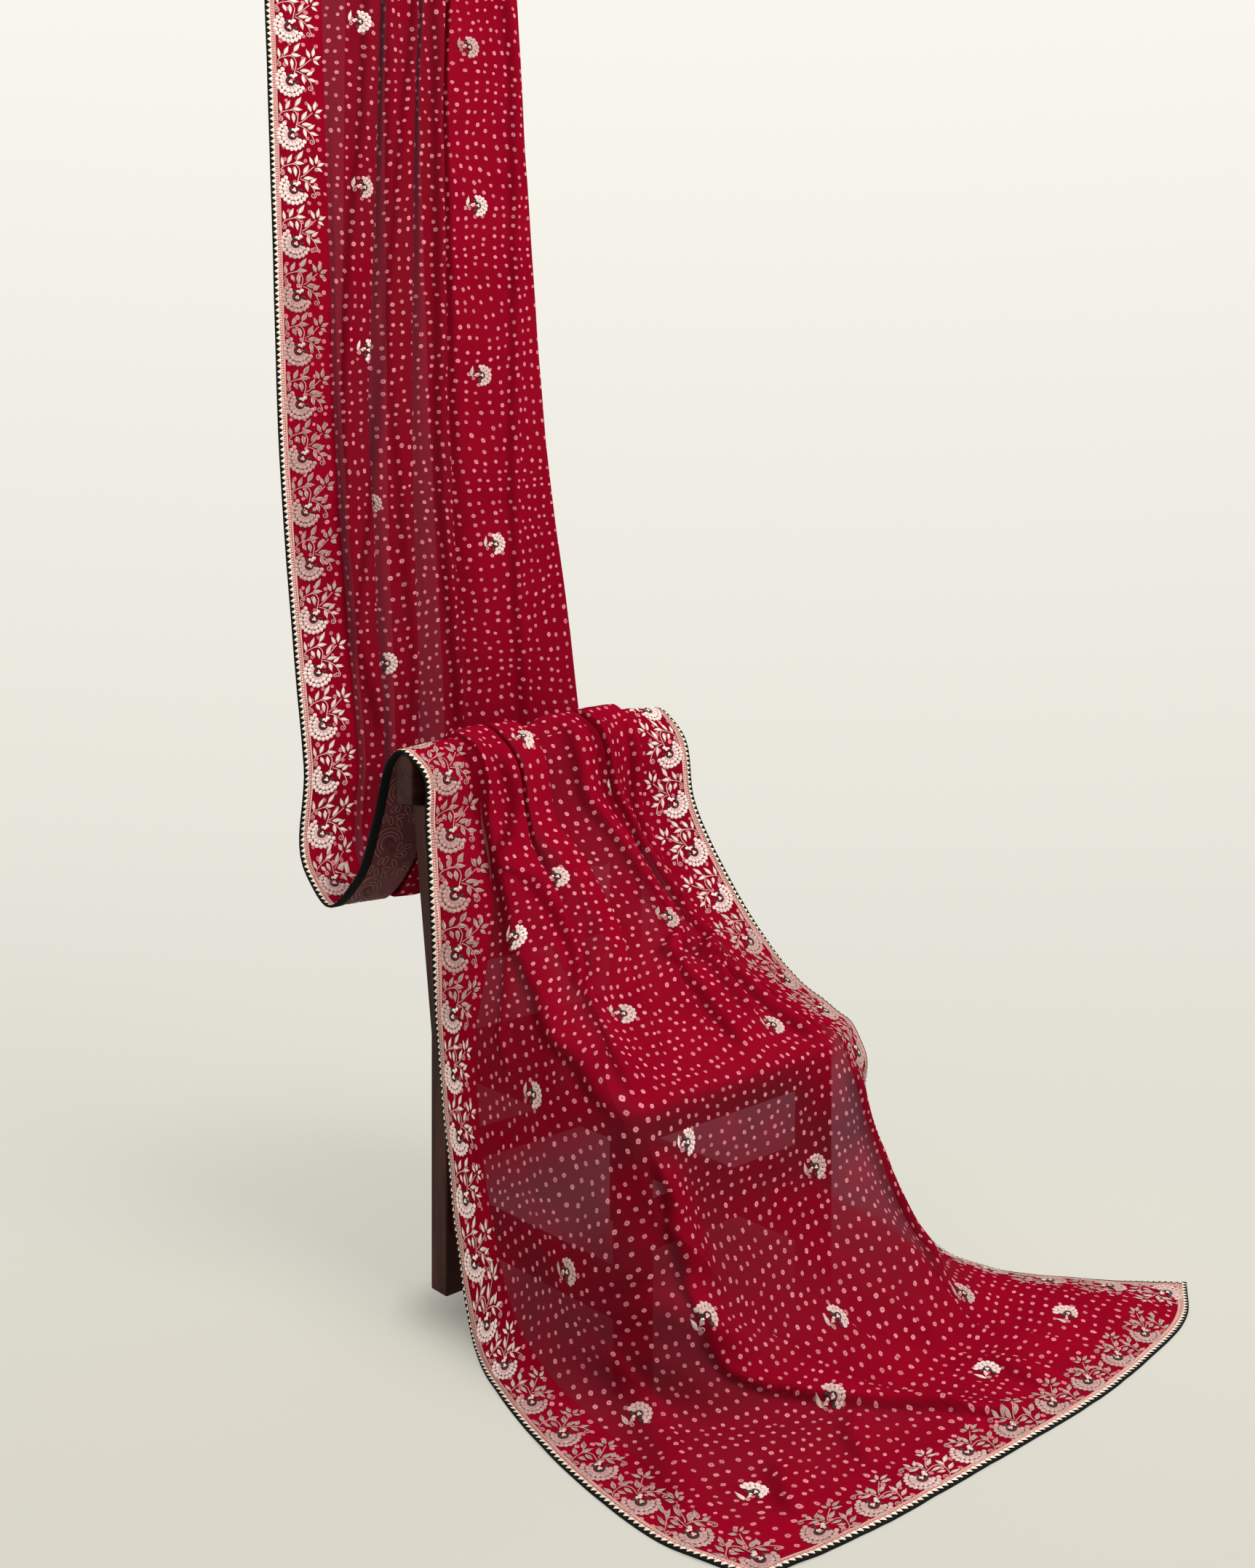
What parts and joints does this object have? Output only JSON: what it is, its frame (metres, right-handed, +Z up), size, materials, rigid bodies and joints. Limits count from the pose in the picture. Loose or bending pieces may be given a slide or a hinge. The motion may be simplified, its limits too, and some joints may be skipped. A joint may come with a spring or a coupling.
{
  "type": "bandhani sari draped over a wooden chair",
  "caption": "Long sheer tie-dyed cloth with an embroidered border, hanging from above, looped behind a plain wooden chair, drawn over its back and seat and spread on the floor in front.",
  "frame": {"origin": "centre of the bounding box's base, on the floor under the chair", "axes": "+Z up, the chair's front and the end of the cloth face -Y, +X to the right of someone looking at the front"},
  "size_m": [1.1851, 1.2998, 2.4201],
  "materials": {
    "cloth": "sheer crepe weave, red, with small tie-dyed rings and stitched flowers",
    "facing": "plain opaque lining behind the border",
    "braid": "narrow metallic braid",
    "binding": "plain black binding with a row of small cream points",
    "wood": "dark stained wood, satin varnish"
  },
  "bodies": {
    "root": {"cloth": "cloth", "facing": "facing", "braid": "braid", "binding": "binding", "front_leg_left": "wood", "front_leg_right": "wood", "back_post_left": "wood", "back_post_right": "wood", "seat": "wood", "front_rail": "wood", "back_rail": "wood", "side_rail_left": "wood", "side_rail_right": "wood", "front_stretcher": "wood", "side_stretcher_left": "wood", "side_stretcher_right": "wood", "back_stretcher": "wood", "crest_rail": "wood", "back_splat": "wood", "back_bar": "wood"}
  },
  "joints": []
}
